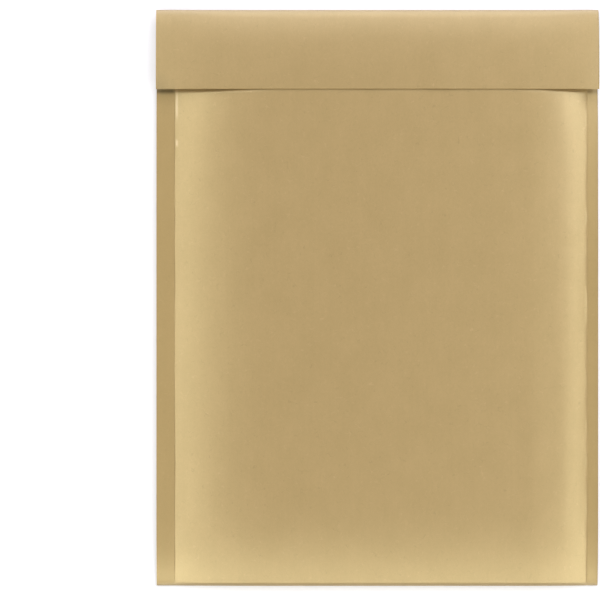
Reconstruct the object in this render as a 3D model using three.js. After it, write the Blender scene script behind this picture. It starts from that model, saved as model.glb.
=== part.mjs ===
// A padded paper envelope, shut, lying on its back with its flap side up.
// Millimetres, +Z up. X runs across the width and Y towards the top fold. The origin is under the middle
// of the back, on the surface that the envelope lies on.
// One padded web makes the whole envelope. It is folded once at the bottom, sealed flat down both sides,
// and its unpadded end is folded over the front as the flap.

import * as THREE from 'three';

// Overall sizes, with the flap shut
const WIDTH = 215.9;
const LENGTH = 281.5;
const PAD_THICKNESS = 7.4;
const PAPER = 0.3;

// Side seams, where the front and back are pressed together, and how far they dip at the bottom fold
const SEAM_LEFT = 8.8;
const SEAM_RIGHT = 5.2;
const SEAM_THICKNESS = 0.9;
const SEAM_LIFT = 2.2;
const SEAM_DIP = 2;

// Padding beside a seam: a small round shoulder, then a long low crown that makes most of the rise
const SHOULDER_WIDTH = 0.9;
const CROWN_LEFT = 46;
const CROWN_RIGHT = 30;
const CROWN_SHARE = 0.95;

// Padding at the bottom fold, where it thins in a long low crown
const BOTTOM_CROWN = 46;
const BOTTOM_HEIGHT = 4.6;
const BOTTOM_FOLD_DEPTH = 2;

// Ends of the back, which lift a little off the surface
const END_LIFT = 0.4;
const END_LIFT_LENGTH = 14;

// Flap, and the fold that it hangs from: its outermost line lies at a share of the height it spans
const FLAP_LENGTH = 38.9;
const FLAP_GAP = 0.7;
const FLAP_SAG = 0.3;
const FOLD_SHARE = 0.5;
const TOP_FOLD_DEPTH = 4;
const MOUTH_INSET = 4;

// Fineness of the curves
const CROWN_STEPS = 9;
const SHOULDER_STEPS = 5;
const FOLD_STEPS = 8;
const FLAP_STEPS = 14;

const KRAFT_COLOUR = 0xba9e6e;
const KRAFT_ROUGHNESS = 0.55;

// Lines that the sections share
const leftSeamLine = -WIDTH / 2 + SEAM_LEFT;
const rightSeamLine = WIDTH / 2 - SEAM_RIGHT;
const topCrease = LENGTH / 2 - TOP_FOLD_DEPTH;
const mouth = topCrease - MOUTH_INSET;
const freeEdge = LENGTH / 2 - FLAP_LENGTH;
const bottomCrease = -LENGTH / 2 + BOTTOM_FOLD_DEPTH;
const bottomCrownStart = -LENGTH / 2 + BOTTOM_CROWN;

// Evenly spaced values from one end to the other, both included.
function spaced(from, to, steps) {
  return Array.from({ length: steps + 1 }, (_, i) => from + ((to - from) * i) / steps);
}

// How far a point lies into a stretch, from 0 before it to 1 at its end.
function into(distance, stretch) {
  return THREE.MathUtils.clamp(distance / stretch, 0, 1);
}

// Height of the top fold's curve: level at the flap's free edge and upright at the fold.
function arch(u) {
  return Math.sqrt(1 - u ** 3);
}

function towardsBottom(y) {
  return into(bottomCrownStart - y, BOTTOM_CROWN);
}

// Height of the padded front along the middle of the envelope.
function frontHeight(y) {
  const bottomDrop = (PAD_THICKNESS - BOTTOM_HEIGHT) * towardsBottom(y) ** 2;
  const topDrop = PAD_THICKNESS * (1 - FOLD_SHARE) * (1 - arch(into(y - freeEdge, FLAP_LENGTH)));
  return PAD_THICKNESS - bottomDrop - topDrop;
}

// Height of the back along the middle: flat on the surface, lifting at both ends.
function backHeight(y) {
  const towardsEnd = into(Math.abs(y) - LENGTH / 2 + END_LIFT_LENGTH, END_LIFT_LENGTH);
  return END_LIFT * towardsEnd ** 2;
}

// Height of the seams' undersides.
function seamHeight(y) {
  return SEAM_LIFT - SEAM_DIP * towardsBottom(y) ** 3;
}

// Share of the padding's full height at a distance in from a seam.
function fullness(distance, crownWidth) {
  const shoulder = Math.sqrt(1 - (1 - into(distance, SHOULDER_WIDTH)) ** 2);
  const crown = 1 - (1 - into(distance, crownWidth)) ** 2;
  return (1 - CROWN_SHARE) * shoulder + CROWN_SHARE * crown;
}

// Share of the padding's rise that the flap sags by, most at the envelope's two sides.
function sagAt(x) {
  const fromLeft = into(x + WIDTH / 2, SEAM_LEFT + CROWN_LEFT);
  const fromRight = into(WIDTH / 2 - x, SEAM_RIGHT + CROWN_RIGHT);
  return FLAP_SAG * CROWN_SHARE * ((1 - fromLeft) ** 2 + (1 - fromRight) ** 2);
}

// Points of the bottom fold's half-round bend, without its two ends.
function bottomBend(fromZ, toZ) {
  return spaced(0, Math.PI, FOLD_STEPS).slice(1, -1).map((angle) => {
    const z = (fromZ + toZ) / 2 + ((fromZ - toZ) / 2) * Math.cos(angle);
    return new THREE.Vector2(bottomCrease - BOTTOM_FOLD_DEPTH * Math.sin(angle), z);
  });
}

// Points of the top fold's lower half, from the back up to its outermost line, without its two ends.
function topBend(depth, fromZ, toZ) {
  return spaced(0, Math.PI / 2, FOLD_STEPS).slice(1, -1).map((angle) => {
    const z = fromZ + (toZ - fromZ) * (1 - Math.cos(angle));
    return new THREE.Vector2(topCrease + depth * Math.sin(angle), z);
  });
}

// The envelope's outline in Y and Z at one place across its width, once round from the mouth.
function outlineAt(x) {
  const full = Math.min(fullness(x - leftSeamLine, CROWN_LEFT), fullness(rightSeamLine - x, CROWN_RIGHT));
  const seamTop = (y) => seamHeight(y) + SEAM_THICKNESS;
  const front = (y) => seamTop(y) + (frontHeight(y) - seamTop(y)) * full;
  const back = (y) => seamHeight(y) + (backHeight(y) - seamHeight(y)) * full;
  const along = (ys, height) => ys.map((y) => new THREE.Vector2(y, height(y)));

  const sheet = back(topCrease);
  const flapLevel = PAD_THICKNESS + FLAP_GAP - sagAt(x) * (PAD_THICKNESS - seamTop(freeEdge));
  const foldLine = sheet + (flapLevel - sheet) * FOLD_SHARE;
  const flap = (u, paper) => {
    const z = foldLine + (flapLevel + paper - foldLine) * arch(u);
    return new THREE.Vector2(freeEdge + (FLAP_LENGTH - PAPER + paper) * u, z);
  };

  const frontTop = spaced(mouth, freeEdge, CROWN_STEPS);
  const frontBottom = spaced(bottomCrownStart, bottomCrease, CROWN_STEPS);
  const backBottom = spaced(bottomCrease, -LENGTH / 2 + END_LIFT_LENGTH, CROWN_STEPS);
  const backTop = spaced(LENGTH / 2 - END_LIFT_LENGTH, topCrease, CROWN_STEPS);
  const flapShares = spaced(Math.PI / 2, 0, FLAP_STEPS).map((angle) => Math.sin(angle) ** (2 / 3));

  return [
    ...along([...frontTop, ...frontBottom], front),
    ...bottomBend(front(bottomCrease), back(bottomCrease)),
    ...along([...backBottom, ...backTop], back),
    ...topBend(TOP_FOLD_DEPTH, sheet, foldLine),
    ...flapShares.map((u) => flap(u, PAPER)),
    ...flapShares.toReversed().map((u) => flap(u, 0)),
    ...topBend(TOP_FOLD_DEPTH - PAPER, sheet + PAPER, foldLine).reverse(),
    new THREE.Vector2(topCrease, sheet + PAPER),
    new THREE.Vector2(mouth, back(mouth) + PAPER),
  ];
}

// Distances in from a seam where sections are taken: the shoulder and the crown.
function inward(crownWidth) {
  const shoulder = spaced(0, Math.PI / 2, SHOULDER_STEPS).map((a) => SHOULDER_WIDTH * (1 - Math.cos(a)));
  return [...shoulder, ...spaced(SHOULDER_WIDTH, crownWidth, CROWN_STEPS).slice(1)];
}

// Places across the width where sections are taken.
function stations() {
  const left = inward(CROWN_LEFT).map((d) => leftSeamLine + d);
  const right = inward(CROWN_RIGHT).map((d) => rightSeamLine - d).reverse();
  return [-WIDTH / 2, ...left, ...right, WIDTH / 2];
}

// A closed solid lofted along X through outlines that run anticlockwise in Y and Z.
function loft(xs, outlines) {
  const count = outlines[0].length;
  const positions = outlines.flatMap((outline, i) => outline.flatMap((p) => [xs[i], p.x, p.y]));
  const indices = [];
  for (let i = 0; i + 1 < xs.length; i++) {
    for (let k = 0; k < count; k++) {
      const next = (k + 1) % count;
      const a = i * count + k;
      const b = i * count + next;
      indices.push(a, b, b + count);
      indices.push(a, b + count, a + count);
    }
  }
  const last = (xs.length - 1) * count;
  for (const [a, b, c] of THREE.ShapeUtils.triangulateShape(outlines[0], [])) {
    indices.push(a, c, b);
  }
  for (const [a, b, c] of THREE.ShapeUtils.triangulateShape(outlines.at(-1), [])) {
    indices.push(last + a, last + b, last + c);
  }
  const geometry = new THREE.BufferGeometry();
  geometry.setAttribute('position', new THREE.Float32BufferAttribute(positions, 3));
  geometry.setIndex(indices);
  geometry.computeVertexNormals();
  return geometry;
}

function paddedEnvelope() {
  const xs = stations();
  const kraft = new THREE.MeshStandardMaterial({
    color: KRAFT_COLOUR,
    roughness: KRAFT_ROUGHNESS,
    metalness: 0,
  });
  const mesh = new THREE.Mesh(loft(xs, xs.map(outlineAt)), kraft);
  mesh.name = 'padded_envelope';
  return mesh;
}

const envelope = new THREE.Group();
envelope.add(paddedEnvelope());

export default envelope;
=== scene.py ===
"""A shut padded kraft paper envelope, lying on its back and seen from straight above."""

import math

import bmesh
import bpy
import numpy as np
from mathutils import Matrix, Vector

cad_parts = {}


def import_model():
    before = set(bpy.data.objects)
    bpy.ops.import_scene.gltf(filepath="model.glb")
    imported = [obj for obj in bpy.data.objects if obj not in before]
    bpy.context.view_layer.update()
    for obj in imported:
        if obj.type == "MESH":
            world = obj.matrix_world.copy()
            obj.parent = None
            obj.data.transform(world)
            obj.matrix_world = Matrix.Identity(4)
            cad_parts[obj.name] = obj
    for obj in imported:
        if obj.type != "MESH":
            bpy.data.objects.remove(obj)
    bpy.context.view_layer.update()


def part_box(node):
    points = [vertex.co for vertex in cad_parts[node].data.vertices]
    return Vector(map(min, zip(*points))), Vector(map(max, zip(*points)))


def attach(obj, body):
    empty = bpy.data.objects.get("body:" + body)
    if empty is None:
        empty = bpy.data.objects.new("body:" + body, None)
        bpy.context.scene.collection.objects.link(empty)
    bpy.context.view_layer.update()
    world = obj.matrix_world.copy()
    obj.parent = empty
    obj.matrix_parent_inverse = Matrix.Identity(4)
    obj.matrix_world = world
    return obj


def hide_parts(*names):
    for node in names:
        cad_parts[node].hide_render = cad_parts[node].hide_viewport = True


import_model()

scene = bpy.context.scene

MM = 0.001
NODE = "padded_envelope"
PIECE = "padded_envelope_web"
HALF_TURN = math.pi
QUARTER_TURN = math.pi / 2

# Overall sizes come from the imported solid, which sits centred on X and Y with its back at Z 0
lowest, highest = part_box(NODE)
WIDTH = highest[0] - lowest[0]
LENGTH = highest[1] - lowest[1]

# The same build as the solid, apart from a narrower and lower shoulder beside the seams
PAD_THICKNESS = 7.4 * MM
PAPER = 0.3 * MM
SEAM_LEFT = 8.8 * MM
SEAM_RIGHT = 5.2 * MM
SEAM_THICKNESS = 0.9 * MM
SEAM_LIFT = 2.2 * MM
SEAM_DIP = 2.0 * MM
SHOULDER_WIDTH = 0.6 * MM
CROWN_LEFT = 46 * MM
CROWN_RIGHT = 30 * MM
CROWN_SHARE = 0.975
BOTTOM_CROWN = 46 * MM
BOTTOM_HEIGHT = 4.6 * MM
BOTTOM_FOLD_DEPTH = 2.0 * MM
END_LIFT = 0.4 * MM
END_LIFT_LENGTH = 14 * MM
FLAP_LENGTH = 38.9 * MM
FLAP_SAG = 0.3
FOLD_SHARE = 0.5
TOP_FOLD_DEPTH = 4.0 * MM
MOUTH_INSET = 4 * MM

# Lines along the envelope
TOP_CREASE = LENGTH / 2 - TOP_FOLD_DEPTH
MOUTH = TOP_CREASE - MOUTH_INSET
FREE_EDGE = LENGTH / 2 - FLAP_LENGTH
BOTTOM_CREASE = -LENGTH / 2 + BOTTOM_FOLD_DEPTH
LEFT_SEAM_LINE = -WIDTH / 2 + SEAM_LEFT
RIGHT_SEAM_LINE = WIDTH / 2 - SEAM_RIGHT

# Waves in the surfaces: height, size of their features across and along, random seed
SEAM_WAVE = (0.18 * MM, 60 * MM, 38 * MM, 3)
SWELL = (0.12 * MM, 48 * MM, 62 * MM, 5)
PUCKER = (0.1 * MM, 15 * MM, 8 * MM, 7)
FLAP_WAVE = (0.1 * MM, 40 * MM, 30 * MM, 11)
WAVE_CELLS = 64
PUCKER_REACH = 11 * MM

# Faint print of the lining's round cells
BUBBLE_PITCH = 10.5 * MM
BUBBLE_PRINT = 0.02 * MM

# Seams: both sink at the flap, the right one tilts and twists, and a slit parts their two layers
SEAM_SINK = 0.6 * MM
SEAM_SINK_REACH = 12 * MM
SEAM_TILT = 0.25 * MM
SEAM_TWIST = 0.75 * MM
TWIST_START = 20 * MM
TWIST_LENGTH = 60 * MM
CUT_EDGE = 0.25 * MM
SEAM_SLIT = 0.3 * MM

# Notch between the front and the sheet behind it, at the shut mouth
MOUTH_NOTCH = 2.5 * MM

# Groove pressed by the flap's free edge, deeper past two places across the width, fainter on the seams
PRINT_WIDTH = 1.4 * MM
PRINT_OFFSET = PRINT_WIDTH / 3
PRINT_LEFT = 0.7 * MM
PRINT_MIDDLE = 0.16 * MM
PRINT_RIGHT = 0.5 * MM
PRINT_LEFT_START = -50 * MM
PRINT_RIGHT_START = 60 * MM
PRINT_DEEPENING = 30 * MM
SEAM_PRINT = 0.3

# The flap lies closer to the front than in the solid, and its free edge curls down
FLAP_GAP = 0.3 * MM
FLAP_CLEARANCE = PAPER / 2
EDGE_DROP = 0.2 * MM
EDGE_DROP_SHARE = 0.3
EDGE_ROUND = PAPER / 3
# Where the free edge lifts off the front: place across the width, reach, lift
EDGE_LIFTS = (
    (-84 * MM, 18 * MM, 0.15 * MM),
    (-20 * MM, 120 * MM, 0.4 * MM),
    (-7 * MM, 7 * MM, 0.25 * MM),
    (31 * MM, 8 * MM, 0.3 * MM),
    (71 * MM, 8 * MM, 0.2 * MM),
    (102 * MM, 12 * MM, 0.5 * MM),
)

# Fineness of the mesh, which is finer beside the left shoulder, at the free edge and in the folds
COLUMN_STEP = 1.6 * MM
SEAM_COLUMNS = 9
SHOULDER_COLUMNS = 9
SPLIT_STEPS = 2
SPLIT_PARTS = 4
ROW_STEP = 1.5 * MM
FINE_ROW_STEP = ROW_STEP / 4
FINE_ABOVE_EDGE = 3 * PRINT_WIDTH
FINE_BELOW_EDGE = 2 * PRINT_WIDTH
FOLD_ROWS = 12
FLAP_FOLD_TURN = 1.25
MOUTH_ROWS = 3
SHARP_ANGLE = math.radians(50)

# Worn folds, painted paler also as the highlight along the top fold, and pressed seams, and the heights
# that tell the seams from the flap above them
TOP_WEAR = 1.5 * MM
BOTTOM_WEAR = 1.2 * MM
PRESS_FADE = 0.3 * MM
SEAM_CEILING = 5.2 * MM
FLAP_FLOOR = 5.5 * MM
HEIGHT_FADE = 1 * MM

# Painted shade: a painted shadow on the seams under the flap, and painted shade at the flap's left corner
# and down the right edge
UNDER_FLAP_DROP = 0.5 * MM
UNDER_FLAP_REACH = 1.3 * MM
UNDER_FLAP_RIGHT = 0.5
CORNER_SHADE = 0.38
CORNER_ACROSS = 11 * MM
CORNER_ALONG = 9 * MM
EDGE_SHADE = 0.3
EDGE_SHADE_WIDTH = 0.9 * MM
EDGE_SHADE_FADE = 0.6 * MM

# Painted glint just inside the padding's left edge: how far in, and each place along the length with its
# reach
GLINT_INSET = 1.2 * MM
GLINT_WIDTH = 0.5 * MM
GLINT_SQUARENESS = 4
GLINT_PLACES = ((94.5 * MM, 6.5 * MM), (75.8 * MM, 1.6 * MM))

# Noise in the paper: features to a metre in X, Y and Z, detail, roughness, distortion
FIBRES = ((900, 520, 900), 5, 0.6, 0.8)
FINE_FIBRES = ((3800, 2200, 3800), 3, 0.6)
MOTTLE = ((95, 70, 95), 4, 0.55)
STREAKS = ((420, 7, 420), 3, 0.5)
NOISE_MIDDLE = 0.5
# How much each of them changes the tone, in the same order
TONE_WEIGHTS = (0.5, 0.7, 0.55, 0.15)
MIDDLE_TONE = 0.5

# Hairline fibres: features to a metre of the noise whose level lines they are, and of their patches
DARK_HAIRS = ((330, 210, 330), (290, 360, 290))
PALE_HAIRS = ((240, 370, 240), (380, 270, 380))
HAIR_DETAIL = (1, 0.35)
PATCH_DETAIL = (1, 0.5)
HAIR_EDGE = 0.013
HAIR_CORE = 0.004
PATCH_EDGE = 0.5
PATCH_CORE = 0.62

# Colours of the paper in linear light, and those of its marks, each after its strength
KRAFT_DARK = (0.383, 0.264, 0.103, 1)
KRAFT_PALE = (0.537, 0.374, 0.166, 1)
DARK_HAIR = (0.3, (0.26, 0.165, 0.06, 1))
PALE_HAIR = (0.25, (0.66, 0.49, 0.26, 1))
PRESSED = (0.35, (0.43, 0.285, 0.09, 1))
# Painted shade: a near black brown for the painted shadow under the flap and the painted shade at its left
# corner and right edge
PAINTED_SHADE = (0.9, (0.09, 0.058, 0.022, 1))
# Painted glint: a pale colour standing in for a bright highlight on the padding's left shoulder
PAINTED_GLINT = (0.6, (0.90, 0.74, 0.48, 1))
# Worn fold colour, paler and greyer: worn paper, and a painted highlight along the top fold
WORN_AND_PAINTED_HIGHLIGHT = (1.0, (0.56, 0.46, 0.34, 1))
# Pale cut edge on the left side only: the raw edge of the paper, and painted light on that lit side
PALE_CUT_AND_LIGHT = (0.5, (0.60, 0.45, 0.27, 1))
WORN_LEAST = 0.2
WORN_FIBRES = 0.6

# Relief and sheen of the paper, rougher where it is worn and where shade is painted
RELIEF_FIBRES = 0.6
RELIEF_FINE = 0.4
BUMP_STRENGTH = 0.4
BUMP_DISTANCE = 0.05 * MM
ROUGHNESS = 0.272
FIBRE_ROUGHNESS = 0.015
WORN_ROUGHNESS = 0.25
PAINTED_SHADE_ROUGHNESS = 0.4
PAPER_IOR = 1.8
SPECULAR_LEVEL = 1.0
SPECULAR_TINT = (1.0, 0.87, 0.5, 1)

# Floor, whose white glow is weaker near the envelope so that a shadow shows there
FLOOR_HALF = 3.0
FLOOR_COLOUR = (0.86, 0.86, 0.86, 1)
GLOW_START = 0.2
GLOW_END = 0.7
GLOW_LEAST = 0.3

# Even light from all round, and the heights between which the white backdrop fades, as sines
AMBIENT = 0.25
BACKDROP_LOW = 0.14
BACKDROP_HIGH = 0.42

# Lamps: name, place, size, power in watts, colour, and the place across the width that they face
WARM = (1.0, 0.985, 0.955)
COOL = (1.0, 0.99, 1.2)
LAMPS = (
    ("top_near", (0.4, 1.15, 1.15), (2.4, 1.2), 6.1, COOL, 0.4),
    ("top_mid", (0.4, 0.75, 1.15), (2.4, 0.4), 0.9, COOL, 0.4),
    ("top_far", (0.4, 1.5, 0.9), (2.4, 1.0), 10.9, COOL, 0.4),
    ("left", (-0.56, 0.0, 1.05), (1.6, 0.2), 3.05, WARM, 0.0),
    ("left_near", (-0.33, 0.0, 1.05), (1.6, 0.2), 0.35, WARM, 0.0),
    ("right", (0.83, 0.0, 1.05), (1.6, 0.14), 2.8, WARM, 0.0),
    ("right_near", (0.36, 0.0, 1.05), (1.6, 0.3), 0.8, WARM, 0.0),
    ("right_top", (0.75, 0.35, 1.05), (0.4, 0.4), 0.7, COOL, 0.0),
    ("right_bottom", (0.75, -0.5, 1.05), (0.4, 0.4), 0.75, WARM, 0.0),
    ("bottom", (-0.04, -0.58, 1.05), (1.6, 0.14), 2.9, WARM, 0.0),
)

# Camera, and the envelope's edges in the photograph, in pixels of its frame
LENS = 110.0
SENSOR = 36.0
PHOTO_SIDE = 600
PHOTO_LEFT, PHOTO_RIGHT = 156.3, 598.3
PHOTO_TOP, PHOTO_BOTTOM = 10.0, 586.4


def into(distance, stretch):
    """How far a point lies into a stretch, from 0 before it to 1 at its end."""
    return np.clip(distance / stretch, 0, 1)


def bell(distance, reach, power=2):
    """A smooth hump, 1 in its middle and fading past its reach. A higher power makes it squarer."""
    return np.exp(-((distance / reach) ** power))


def ease(share):
    """A smooth step from 0 to 1 that starts and ends level."""
    return share * share * share * (share * (share * 6 - 15) + 10)


def wave(x, y, height, size_x, size_y, seed):
    """Smooth noise up to a height above and below 0, with features of about the given sizes."""
    table = np.random.default_rng(seed).uniform(-1, 1, (WAVE_CELLS, WAVE_CELLS))
    u, v = np.broadcast_arrays(x / size_x + WAVE_CELLS / 2, y / size_y + WAVE_CELLS / 2)
    i, j = np.floor(u).astype(int), np.floor(v).astype(int)
    a, b = ease(u - i), ease(v - j)
    left, right = i % WAVE_CELLS, (i + 1) % WAVE_CELLS
    near, far = j % WAVE_CELLS, (j + 1) % WAVE_CELLS
    along_near = table[left, near] * (1 - a) + table[right, near] * a
    along_far = table[left, far] * (1 - a) + table[right, far] * a
    return height * (along_near * (1 - b) + along_far * b)


def bubbles(x, y):
    """The lining's pattern of round cells, from about -0.5 to 1."""
    k = 4 * math.pi / (math.sqrt(3) * BUBBLE_PITCH)
    turns = (0, math.pi / 3, 2 * math.pi / 3)
    return sum(np.cos(k * (x * math.cos(t) + y * math.sin(t))) for t in turns) / 3


def from_seam(x):
    """Distance in from the nearer seam line, negative on a seam."""
    return np.minimum(x - LEFT_SEAM_LINE, RIGHT_SEAM_LINE - x)


def fullness(x):
    """Share of the padding's full height: a round shoulder beside the seam, then a long low crown."""
    left, right = x - LEFT_SEAM_LINE, RIGHT_SEAM_LINE - x
    shoulder = np.sqrt(1 - (1 - into(from_seam(x), SHOULDER_WIDTH)) ** 2)
    crown = 1 - (1 - into(left, CROWN_LEFT)) ** 2 - (1 - into(right, CROWN_RIGHT)) ** 2
    return (1 - CROWN_SHARE) * shoulder + CROWN_SHARE * np.maximum(crown, 0)


def towards_bottom(y):
    """From 0 where the bottom crown starts to 1 at the envelope's lower end."""
    return into(-LENGTH / 2 + BOTTOM_CROWN - y, BOTTOM_CROWN)


def towards_top(y):
    """From 0 at the flap's free edge to 1 at the envelope's upper end."""
    return into(y - FREE_EDGE, FLAP_LENGTH)


def arch(u):
    """Height of the top fold's curve: level at the flap's free edge, upright at the fold."""
    return np.sqrt(np.maximum(1 - u**3, 0))


def front_middle(y):
    """Height of the padded front along the middle of the envelope."""
    bottom = (PAD_THICKNESS - BOTTOM_HEIGHT) * towards_bottom(y) ** 2
    top = PAD_THICKNESS * (1 - FOLD_SHARE) * (1 - arch(towards_top(y)))
    return PAD_THICKNESS - bottom - top


def flap_print(x, y):
    """Depth of the groove that the flap's free edge presses into the padding, deepest at the sides."""
    left = into(PRINT_LEFT_START - x, PRINT_DEEPENING)
    right = into(x - PRINT_RIGHT_START, PRINT_DEEPENING)
    depth = PRINT_MIDDLE + (PRINT_LEFT - PRINT_MIDDLE) * left + (PRINT_RIGHT - PRINT_MIDDLE) * right
    return depth * bell(y - FREE_EDGE - PRINT_OFFSET, PRINT_WIDTH)


def seam_height(x, y):
    """Height of the seams' undersides, which wave a little, dip to the bottom fold and sink at the flap."""
    dip = SEAM_DIP * towards_bottom(y) ** 3
    sink = SEAM_SINK * bell(y - FREE_EDGE, SEAM_SINK_REACH)
    twist = SEAM_TILT - SEAM_TWIST * into(y - TWIST_START, TWIST_LENGTH)
    tilt = twist * into(x - RIGHT_SEAM_LINE, SEAM_RIGHT)
    return SEAM_LIFT - dip - sink + wave(x, y, *SEAM_WAVE) + tilt


def front(x, y):
    """Height of the padded front, and of the seams' upper sides."""
    full = fullness(x)
    groove = flap_print(x, y)
    seam_top = seam_height(x, y) + SEAM_THICKNESS - SEAM_PRINT * groove
    inside = np.maximum(from_seam(x), 0)
    beside_seam = np.exp(-inside / PUCKER_REACH) * into(inside, SHOULDER_WIDTH)
    uneven = wave(x, y, *SWELL) * full
    uneven = uneven + wave(x, y, *PUCKER) * beside_seam
    uneven = uneven + BUBBLE_PRINT * bubbles(x, y) * full
    return seam_top + (front_middle(y) - groove - seam_top) * full + uneven


def back(x, y):
    """Height of the back: flat on the floor, lifting at both ends and up to the seams."""
    full = fullness(x)
    end = into(np.abs(y) - LENGTH / 2 + END_LIFT_LENGTH, END_LIFT_LENGTH)
    lift = END_LIFT * end**2
    return np.maximum(seam_height(x, y) * (1 - full) + lift * full, 0)


def inner_sheet(x, y):
    """Height of the inside of the single sheet beyond the mouth."""
    return back(x, y) + PAPER


def flap_sag(x):
    """Share of the padding's rise that the flap sags by, most at the envelope's two sides."""
    left = into(x + WIDTH / 2, SEAM_LEFT + CROWN_LEFT)
    right = into(WIDTH / 2 - x, SEAM_RIGHT + CROWN_RIGHT)
    return FLAP_SAG * CROWN_SHARE * ((1 - left) ** 2 + (1 - right) ** 2)


def flap_level(x):
    """Height of the flap's underside along its free edge, before it lifts and curls."""
    rise = PAD_THICKNESS - SEAM_LIFT - SEAM_THICKNESS
    return PAD_THICKNESS + FLAP_GAP - flap_sag(x) * rise


def fold_line(x):
    """Height of the outermost line of the top fold."""
    low = back(x, TOP_CREASE)
    return low + (flap_level(x) - low) * FOLD_SHARE


def row(x, y, z):
    """Points across the width, at one place along the length or at one for each point."""
    return np.stack([x, np.broadcast_to(y, x.shape), z], axis=1)


def flap_row(x, u, thickness):
    """One row of the flap, from 0 at its free edge to 1 at the fold, on either side of the paper."""
    y = FREE_EDGE + (FLAP_LENGTH - PAPER + thickness) * u
    fold = fold_line(x)
    lift = sum(rise * bell(x - place, reach) for place, reach, rise in EDGE_LIFTS)
    drop = EDGE_DROP * into(EDGE_DROP_SHARE - u, EDGE_DROP_SHARE) ** 2
    loose = lift * (1 - u) ** 2 + wave(x, y, *FLAP_WAVE) * (1 - u) - drop
    z = fold + (flap_level(x) - fold) * arch(u) + loose
    if y <= MOUTH:
        z = np.maximum(z, front(x, y) + FLAP_CLEARANCE)
    return row(x, y, z + thickness * arch(u))


def columns():
    """Places across the width, closest at the cut edges and the shoulders."""
    turn = np.linspace(0, QUARTER_TURN, SHOULDER_COLUMNS + 1)
    shoulder = SHOULDER_WIDTH * (1 - np.cos(turn))
    left_seam = np.linspace(-WIDTH / 2 + CUT_EDGE, LEFT_SEAM_LINE, SEAM_COLUMNS)
    right_seam = np.linspace(RIGHT_SEAM_LINE, WIDTH / 2 - CUT_EDGE, SEAM_COLUMNS)
    start = LEFT_SEAM_LINE + SHOULDER_WIDTH
    end = RIGHT_SEAM_LINE - SHOULDER_WIDTH
    middle = np.linspace(start, end, round((end - start) / COLUMN_STEP) + 1)
    beside_left = np.linspace(middle[0], middle[SPLIT_STEPS], SPLIT_STEPS * SPLIT_PARTS + 1)
    rest = middle[SPLIT_STEPS + 1 :]
    left = LEFT_SEAM_LINE + shoulder[1:-1]
    right = (RIGHT_SEAM_LINE - shoulder[1:-1])[::-1]
    return np.concatenate(
        [[-WIDTH / 2], left_seam, left, beside_left, rest, right, right_seam, [WIDTH / 2]]
    )


def spaced(start, end, step=ROW_STEP):
    """Even places from one end to the other, both included, about a step apart."""
    return np.linspace(start, end, max(2, round(abs(end - start) / step) + 1))


def along(x, ys, height):
    """Rows at places along the length, on a surface of the given height."""
    return [row(x, y, height(x, y)) for y in ys]


def bend(x, crease, depth, from_z, to_z, whole_turn):
    """Rows of a round bend that starts level at one height and turns to another, without its two ends."""
    rows = []
    for turn in np.linspace(0, whole_turn, FOLD_ROWS + 2)[1:-1]:
        share = (1 - math.cos(turn)) / (1 - math.cos(whole_turn))
        rows.append(row(x, crease + depth * math.sin(turn), from_z + (to_z - from_z) * share))
    return rows


def mouth_rows(x):
    """Rows of the notch between the front and the sheet, where the mouth is shut."""
    low, high = inner_sheet(x, MOUTH), front(x, MOUTH)
    rows = []
    for share in np.linspace(0, 1, MOUTH_ROWS + 2)[1:-1]:
        depth = MOUTH_NOTCH * (1 - abs(2 * share - 1)) * fullness(x)
        rows.append(row(x, MOUTH - depth, low + (high - low) * share))
    return rows


def envelope_rows(x):
    """Rows of points across the width, once round the envelope's outline, in named stretches."""
    fine_start, fine_end = FREE_EDGE + FINE_ABOVE_EDGE, FREE_EDGE - FINE_BELOW_EDGE
    front_ys = [
        *spaced(MOUTH, fine_start)[:-1],
        *spaced(fine_start, fine_end, FINE_ROW_STEP)[:-1],
        *spaced(fine_end, BOTTOM_CREASE),
    ]
    sheet_ys = spaced(MOUTH, TOP_CREASE)
    tight = np.cos(np.linspace(0, FLAP_FOLD_TURN, FOLD_ROWS)) ** (2 / 3)
    flap_us = [*tight[:-1], *spaced(tight[-1], 0, ROW_STEP / FLAP_LENGTH)]
    flap_outer = [flap_row(x, u, PAPER) for u in flap_us]
    flap_inner = [flap_row(x, u, 0) for u in flap_us]
    edge = (flap_outer[-1] + flap_inner[-1]) / 2 - [0, EDGE_ROUND, 0]
    bottom_z = front(x, BOTTOM_CREASE), back(x, BOTTOM_CREASE)
    low, high = back(x, TOP_CREASE), fold_line(x)
    top_inner = bend(x, TOP_CREASE, TOP_FOLD_DEPTH - PAPER, low + PAPER, high, QUARTER_TURN)
    return {
        "front": along(x, front_ys, front),
        "bottom_fold": bend(x, BOTTOM_CREASE, -BOTTOM_FOLD_DEPTH, *bottom_z, HALF_TURN),
        "back": along(x, front_ys[::-1], back),
        "sheet": along(x, sheet_ys[1:], back),
        "top_fold": bend(x, TOP_CREASE, TOP_FOLD_DEPTH, low, high, QUARTER_TURN),
        "flap": flap_outer,
        "edge": [edge],
        "flap_inner": flap_inner[::-1],
        "top_inner": top_inner[::-1],
        "sheet_inner": along(x, sheet_ys[::-1], inner_sheet),
        "mouth": mouth_rows(x),
    }


def web_faces(row_count, across):
    """Faces between neighbouring rows, once round the envelope's outline."""
    faces = []
    for index in range(row_count):
        first, following = index * across, (index + 1) % row_count * across
        for c in range(across - 1):
            faces.append((first + c, following + c, following + c + 1, first + c + 1))
    return faces


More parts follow.
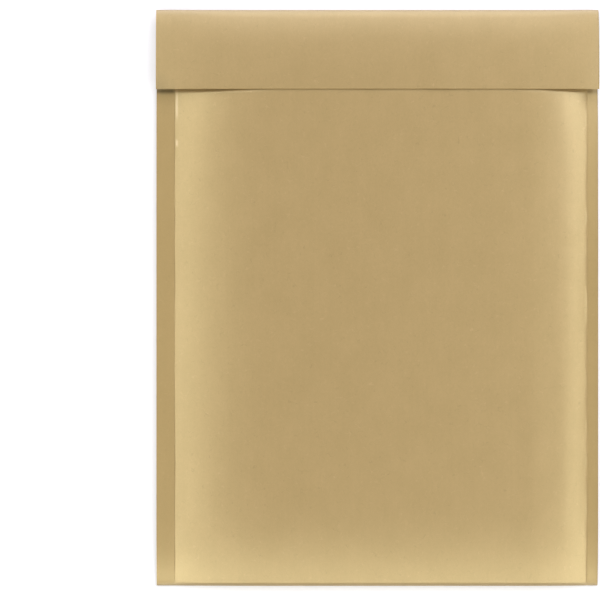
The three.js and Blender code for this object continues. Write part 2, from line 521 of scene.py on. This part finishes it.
def side_faces(points, rows_of, across, column, inward):
    """Faces that close one side, and the new points of the slit between the seam's two layers."""

    def vertices(*stretches):
        return [index * across + column for stretch in stretches for index in stretch]

    fronts, backs = vertices(rows_of["front"]), vertices(rows_of["back"][::-1])
    slit_points = (points[fronts] + points[backs]) / 2 + [inward * SEAM_SLIT, 0, 0]
    slit = range(len(points), len(points) + len(slit_points))
    faces = []
    for j in range(len(slit) - 1):
        faces.append((fronts[j], fronts[j + 1], slit[j + 1], slit[j]))
        faces.append((slit[j], slit[j + 1], backs[j + 1], backs[j]))

    bottom = [fronts[-1], *vertices(rows_of["bottom_fold"]), backs[-1]]
    lip = [backs[0], *vertices(rows_of["sheet_inner"][-1:], rows_of["mouth"]), fronts[0]]
    for hub, ring in ((slit[-1], bottom), (slit[0], lip)):
        for a, b in zip(ring, ring[1:]):
            faces.append((hub, a, b))

    outer = [backs[0], *vertices(*(rows_of[name] for name in ("sheet", "top_fold", "flap")))]
    inner = vertices(*(rows_of[name][::-1] for name in ("sheet_inner", "top_inner", "flap_inner")))
    for j in range(len(outer) - 1):
        faces.append((outer[j], outer[j + 1], inner[j + 1], inner[j]))
    faces.append((outer[-1], *vertices(rows_of["edge"]), inner[-1]))
    return faces, slit_points


def envelope_mesh():
    """The whole envelope as one closed mesh."""
    x = columns()
    across = len(x)
    stretches = envelope_rows(x)
    points = np.concatenate([line for stretch in stretches.values() for line in stretch])
    rows_of = {}
    row_count = 0
    for name, stretch in stretches.items():
        rows_of[name] = range(row_count, row_count + len(stretch))
        row_count += len(stretch)

    faces = web_faces(row_count, across)
    for column, inward in ((0, 1), (across - 1, -1)):
        closing, slit_points = side_faces(points, rows_of, across, column, inward)
        faces += closing
        points = np.concatenate([points, slit_points])

    mesh = bpy.data.meshes.new(PIECE)
    mesh.from_pydata(points.tolist(), [], faces)
    shape = bmesh.new()
    shape.from_mesh(mesh)
    bmesh.ops.recalc_face_normals(shape, faces=shape.faces)
    shape.to_mesh(mesh)
    shape.free()
    mesh.polygons.foreach_set("use_smooth", [True] * len(mesh.polygons))
    mesh.set_sharp_from_angle(angle=SHARP_ANGLE)
    wear_and_painted_light_attributes(mesh, points, len(rows_of["front"]) * across)
    return mesh


def painted_shade_marks(x, y, z, pressed, front_count):
    """Painted shade: a painted shadow on the seams under the flap, and painted shade at the flap's left
    corner and down the right edge.
    """
    # A painted shadow just below the flap's free edge, on the seams' front layer only, weaker on the right
    shadow_under_flap = bell(y - FREE_EDGE + UNDER_FLAP_DROP, UNDER_FLAP_REACH) * pressed
    shadow_under_flap[front_count:] = 0
    shadow_under_flap[x > 0] *= UNDER_FLAP_RIGHT
    # Painted shade at the flap's left corner, and down the right edge
    from_corner = np.hypot((x + WIDTH / 2) / CORNER_ACROSS, (y - FREE_EDGE) / CORNER_ALONG)
    corner = into(1 - from_corner, 1) * into(z - FLAP_FLOOR, HEIGHT_FADE)
    right_edge = into(x - WIDTH / 2 + EDGE_SHADE_WIDTH, EDGE_SHADE_FADE)
    return shadow_under_flap + CORNER_SHADE * corner + EDGE_SHADE * right_edge


def wear_and_painted_light_attributes(mesh, points, front_count):
    """Where the paper is creased and worn paler, which also paints the highlight on the top fold; where the
    left cut edge is pale, raw paper and painted light; where it is pressed in a seam; and where shade and a
    glint are painted.
    """
    x, y, z = points.T
    # Both folds: worn paper, painted paler, which also stands in for the whiter highlight along the top
    # fold
    crease = bell(y - LENGTH / 2, TOP_WEAR) + bell(y + LENGTH / 2, BOTTOM_WEAR)
    # The left cut edge is paler: raw paper, and painted light on the lit side; the right edge has painted
    # shade instead
    pale_cut_and_light = (x < -WIDTH / 2 + CUT_EDGE / 2).astype(float)
    pressed = into(PRESS_FADE - from_seam(x), 2 * PRESS_FADE) * into(SEAM_CEILING - z, HEIGHT_FADE)
    # Painted shade under the flap, at its left corner and down the right edge
    painted_shade = painted_shade_marks(x, y, z, pressed, front_count)
    # A painted glint just inside the left shoulder, at the places listed
    beside_seam = bell(x - LEFT_SEAM_LINE - GLINT_INSET, GLINT_WIDTH)
    painted_glint = sum(beside_seam * bell(y - place, reach, GLINT_SQUARENESS) for place, reach in GLINT_PLACES)
    layers = {"crease": crease, "pale_cut_and_light": pale_cut_and_light, "pressed": pressed, "painted_shade": painted_shade, "painted_glint": painted_glint}
    for name, values in layers.items():
        attribute = mesh.attributes.new(name, "FLOAT", "POINT")
        attribute.data.foreach_set("value", values.astype(np.float32))


class Nodes:
    """Short calls for making the nodes of a material or a world."""

    def __init__(self, owner):
        owner.use_nodes = True
        self.tree = owner.node_tree
        self.tree.nodes.clear()

    def add(self, kind, inputs=None, **settings):
        """A new node, with each input linked to a socket or set to a value."""
        node = self.tree.nodes.new(kind)
        for key, value in settings.items():
            setattr(node, key, value)
        for key, value in (inputs or {}).items():
            if isinstance(value, bpy.types.NodeSocket):
                self.tree.links.new(value, node.inputs[key])
            else:
                node.inputs[key].default_value = value
        return node

    def attribute(self, name):
        return self.add("ShaderNodeAttribute", attribute_name=name).outputs["Fac"]

    def noise(self, coordinates, scale, detail, roughness, distortion=0.0):
        """Noise from 0 to 1 with its own scale in X, Y and Z."""
        spread = self.add("ShaderNodeMapping", {"Vector": coordinates, "Scale": scale})
        made = self.add(
            "ShaderNodeTexNoise",
            {
                "Vector": spread.outputs["Vector"],
                "Scale": 1.0,
                "Detail": detail,
                "Roughness": roughness,
                "Distortion": distortion,
            },
        )
        return made.outputs["Fac"]

    def ramp(self, value, start, end, low=0.0, high=1.0):
        """From low at the start of a stretch of values to high at its end, held level beyond both."""
        inputs = {"Value": value, "From Min": start, "From Max": end, "To Min": low, "To Max": high}
        return self.add("ShaderNodeMapRange", inputs).outputs[0]

    def math(self, operation, *values):
        return self.add("ShaderNodeMath", dict(enumerate(values)), operation=operation).outputs[0]

    def weighted(self, total, value, weight):
        """A total with a value's share added to it."""
        return self.math("ADD", total, self.math("MULTIPLY", value, weight))

    def blend(self, factor, a, b):
        """A mix of two colours, whose sockets go by number because a Mix node has several of each name."""
        return self.add("ShaderNodeMix", {0: factor, 6: a, 7: b}, data_type="RGBA").outputs[2]


def hairlines(n, place, scale, patch_scale):
    """Short winding hairlines: the level lines of one noise, broken up by the patches of another."""
    level = n.noise(place, scale, *HAIR_DETAIL)
    off_line = n.math("ABSOLUTE", n.math("SUBTRACT", level, NOISE_MIDDLE))
    patches = n.ramp(n.noise(place, patch_scale, *PATCH_DETAIL), PATCH_EDGE, PATCH_CORE)
    return n.math("MULTIPLY", n.ramp(off_line, HAIR_EDGE, HAIR_CORE), patches)


def kraft_paper():
    """Brown paper with a grain of fibres, a satin sheen, the marks of use, and painted shade, painted light
    and a painted glint.
    """
    material = bpy.data.materials.new("kraft_paper")
    n = Nodes(material)
    place = n.add("ShaderNodeTexCoord").outputs["Object"]
    layers = [n.noise(place, *layer) for layer in (FIBRES, FINE_FIBRES, MOTTLE, STREAKS)]
    fibres, fine = layers[:2]
    crease, painted_shade = n.attribute("crease"), n.attribute("painted_shade")

    tone = MIDDLE_TONE
    for layer, weight in zip(layers, TONE_WEIGHTS):
        tone = n.weighted(tone, n.math("SUBTRACT", layer, NOISE_MIDDLE), weight)
    tone = n.add("ShaderNodeClamp", {"Value": tone}).outputs[0]
    colour = n.blend(tone, KRAFT_DARK, KRAFT_PALE)
    marks = (
        (hairlines(n, place, *DARK_HAIRS), DARK_HAIR),
        (hairlines(n, place, *PALE_HAIRS), PALE_HAIR),
        (n.attribute("pressed"), PRESSED),
        # painted shade: the painted shadow under the flap and the painted shade at its left corner and
        # right edge
        (painted_shade, PAINTED_SHADE),
        # painted glint on the left shoulder
        (n.attribute("painted_glint"), PAINTED_GLINT),
        # worn folds, paler also as a painted highlight on the top fold
        (n.math("MULTIPLY", crease, n.weighted(WORN_LEAST, fibres, WORN_FIBRES)), WORN_AND_PAINTED_HIGHLIGHT),
        # pale left cut edge: raw paper and painted light
        (n.attribute("pale_cut_and_light"), PALE_CUT_AND_LIGHT),
    )
    for where, (strength, shade) in marks:
        colour = n.blend(n.math("MULTIPLY", where, strength), colour, shade)

    relief = n.weighted(n.math("MULTIPLY", fibres, RELIEF_FIBRES), fine, RELIEF_FINE)
    bump = n.add(
        "ShaderNodeBump", {"Height": relief, "Strength": BUMP_STRENGTH, "Distance": BUMP_DISTANCE}
    )
    roughness = n.weighted(ROUGHNESS, fibres, FIBRE_ROUGHNESS)
    roughness = n.weighted(roughness, crease, WORN_ROUGHNESS)
    roughness = n.weighted(roughness, painted_shade, PAINTED_SHADE_ROUGHNESS)
    shader = n.add(
        "ShaderNodeBsdfPrincipled",
        {
            "Base Color": colour,
            "Roughness": roughness,
            "Normal": bump.outputs["Normal"],
            "IOR": PAPER_IOR,
            "Specular IOR Level": SPECULAR_LEVEL,
            "Specular Tint": SPECULAR_TINT,
        },
    )
    n.add("ShaderNodeOutputMaterial", {"Surface": shader.outputs[0]})
    return material


def add_object(name, data):
    """A new object in the scene."""
    made = bpy.data.objects.new(name, data)
    scene.collection.objects.link(made)
    return made


def shown_ray(n):
    """1 for rays that show the background: those of the camera, and those mirrored or let through."""
    path = n.add("ShaderNodeLightPath").outputs
    mirrored = n.math("MAXIMUM", path["Is Glossy Ray"], path["Is Transmission Ray"])
    return n.math("MAXIMUM", path["Is Camera Ray"], mirrored)


def floor():
    """A plain pale floor that shows white, apart from the shadow close to the envelope."""
    mesh = bpy.data.meshes.new("floor")
    corners = [(FLOOR_HALF * x, FLOOR_HALF * y, 0) for x, y in ((-1, -1), (1, -1), (1, 1), (-1, 1))]
    mesh.from_pydata(corners, [], [(0, 1, 2, 3)])
    material = bpy.data.materials.new("floor_white")
    n = Nodes(material)
    place = n.add("ShaderNodeTexCoord").outputs["Object"]
    away = n.add("ShaderNodeVectorMath", {0: place}, operation="LENGTH").outputs["Value"]
    glow = n.math("MULTIPLY", n.ramp(away, GLOW_START, GLOW_END, GLOW_LEAST), shown_ray(n))
    matt = n.add("ShaderNodeBsdfDiffuse", {"Color": FLOOR_COLOUR}).outputs[0]
    light = n.add("ShaderNodeEmission", {"Strength": glow}).outputs[0]
    both = n.add("ShaderNodeAddShader", {0: matt, 1: light}).outputs[0]
    n.add("ShaderNodeOutputMaterial", {"Surface": both})
    mesh.materials.append(material)
    add_object("floor", mesh)


def world():
    """Even light from all round, with a backdrop near the horizon that shows white."""
    made = bpy.data.worlds.new("studio")
    n = Nodes(made)
    towards = n.add("ShaderNodeTexCoord").outputs["Generated"]
    up = n.add("ShaderNodeSeparateXYZ", {"Vector": towards}).outputs["Z"]
    backdrop = n.ramp(up, BACKDROP_LOW, BACKDROP_HIGH, 1.0, AMBIENT)
    level = n.ramp(shown_ray(n), 0.0, 1.0, AMBIENT, backdrop)
    sky = n.add("ShaderNodeBackground", {"Color": (1, 1, 1, 1), "Strength": level}).outputs[0]
    n.add("ShaderNodeOutputWorld", {"Surface": sky})
    scene.world = made


def softbox(name, place, size, power, colour, aim_x):
    """A soft lamp that faces the floor at a place across the width, level with the envelope's middle."""
    lamp = bpy.data.lights.new(name, "AREA")
    lamp.shape = "RECTANGLE"
    lamp.size, lamp.size_y = size
    lamp.energy = power
    lamp.color = colour
    holder = add_object(name, lamp)
    holder.location = place
    towards = Vector((aim_x, 0, 0)) - Vector(place)
    holder.rotation_euler = towards.to_track_quat("-Z", "Y").to_euler()
    holder.visible_camera = False


def camera():
    """Straight above, with the frame's middle where the photograph has it."""
    pixel = WIDTH / (PHOTO_RIGHT - PHOTO_LEFT)
    across = PHOTO_SIDE / 2 - (PHOTO_LEFT + PHOTO_RIGHT) / 2
    down = PHOTO_SIDE / 2 - (PHOTO_TOP + PHOTO_BOTTOM) / 2
    data = bpy.data.cameras.new("camera")
    data.lens, data.sensor_width = LENS, SENSOR
    data.dof.use_dof = False
    holder = add_object("camera", data)
    distance = PHOTO_SIDE * pixel * LENS / SENSOR
    holder.location = (across * pixel, -down * pixel, distance + PAD_THICKNESS / 2)
    scene.camera = holder


camera()
floor()
world()
for lamp in LAMPS:
    softbox(*lamp)

envelope = add_object(PIECE, envelope_mesh())
envelope.data.materials.append(kraft_paper())
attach(envelope, "root")
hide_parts(NODE)

scene.view_settings.view_transform = "Standard"
